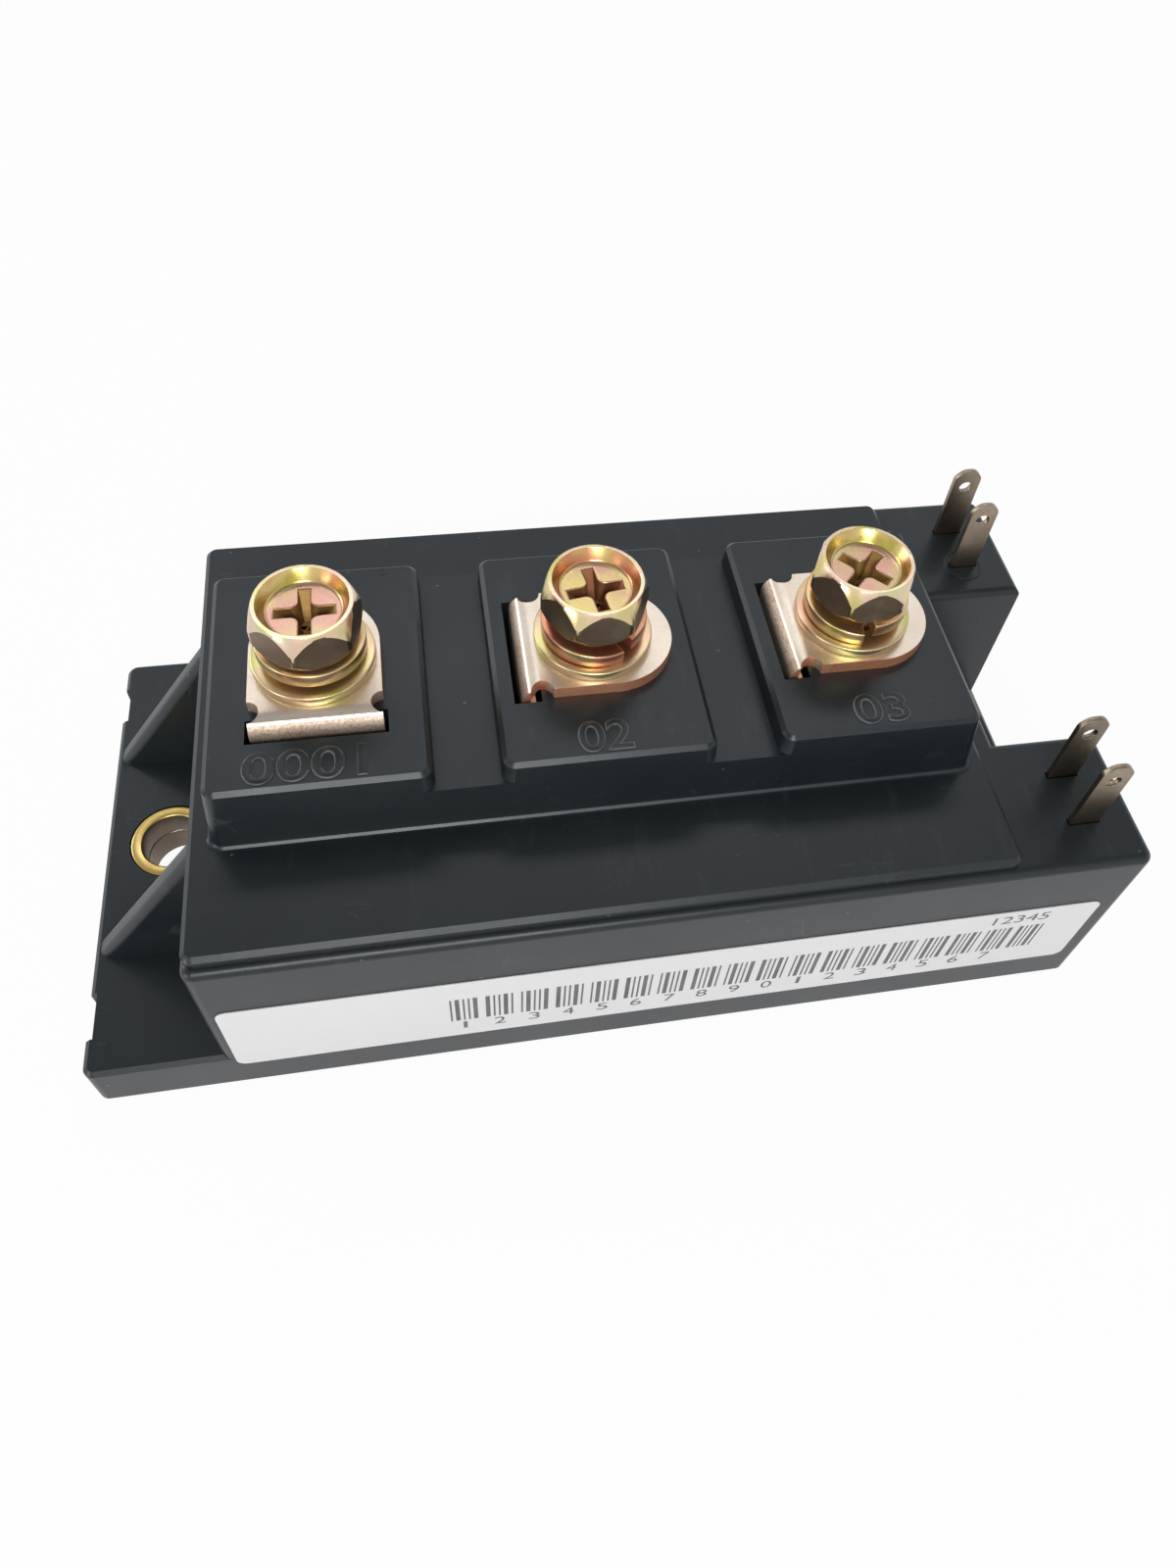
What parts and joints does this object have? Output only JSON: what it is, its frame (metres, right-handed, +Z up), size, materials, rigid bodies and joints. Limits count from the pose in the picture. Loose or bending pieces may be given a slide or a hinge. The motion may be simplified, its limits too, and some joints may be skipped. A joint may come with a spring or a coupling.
{
  "type": "igbt module",
  "caption": "Flat half-bridge power module with a moulded case on a metal base, screw terminals on top, signal tabs at one end and a mounting hole at each end.",
  "frame": {"origin": "middle of the underside of the base plate, where the module sits on its heat sink", "axes": "+X along the module towards the signal tabs, +Y from the labelled front to the back, +Z up"},
  "size_m": [0.092, 0.0451, 0.0382],
  "materials": {
    "case_plastic": "moulded, satin",
    "plated_copper": "nickel plated copper, satin",
    "bush_metal": "turned, satin",
    "label_paper": "printed film, satin",
    "terminal_metal": "tin plated copper, satin",
    "nut_steel": "zinc plated",
    "washer_steel": "yellow zinc plated",
    "spring_steel": "zinc plated",
    "screw_steel": "yellow zinc plated, iridescent",
    "tab_metal": "tin plated, dull",
    "solder": "soft solder",
    "bare_copper": "bare copper",
    "substrate_ceramic": "fired, matt",
    "silicon": "silicon, metallised",
    "bond_aluminium": "drawn wire",
    "silicone_gel": "clear soft gel"
  },
  "bodies": {
    "root": {"case_frame": "case_plastic", "cover": "case_plastic", "base_plate": "plated_copper", "mounting_bush_left": "bush_metal", "mounting_bush_right": "bush_metal", "label": "label_paper", "silicone_gel": "silicone_gel", "main_terminal_1": "terminal_metal", "terminal_nut_1": "nut_steel", "flat_washer_1": "washer_steel", "spring_washer_1": "spring_steel", "terminal_screw_1": "screw_steel", "main_terminal_2": "terminal_metal", "terminal_nut_2": "nut_steel", "flat_washer_2": "washer_steel", "spring_washer_2": "spring_steel", "terminal_screw_2": "screw_steel", "main_terminal_3": "terminal_metal", "terminal_nut_3": "nut_steel", "flat_washer_3": "washer_steel", "spring_washer_3": "spring_steel", "terminal_screw_3": "screw_steel", "signal_tab_1": "tab_metal", "signal_tab_2": "tab_metal", "signal_tab_3": "tab_metal", "signal_tab_4": "tab_metal", "substrate_solder_left": "solder", "chip_solder_left": "solder", "substrate_backing_left": "bare_copper", "copper_circuit_left": "bare_copper", "ceramic_substrate_left": "substrate_ceramic", "igbt_chip_left": "silicon", "diode_chip_left": "silicon", "bond_wires_left": "bond_aluminium", "substrate_solder_right": "solder", "chip_solder_right": "solder", "substrate_backing_right": "bare_copper", "copper_circuit_right": "bare_copper", "ceramic_substrate_right": "substrate_ceramic", "igbt_chip_right": "silicon", "diode_chip_right": "silicon", "bond_wires_right": "bond_aluminium"}
  },
  "joints": []
}
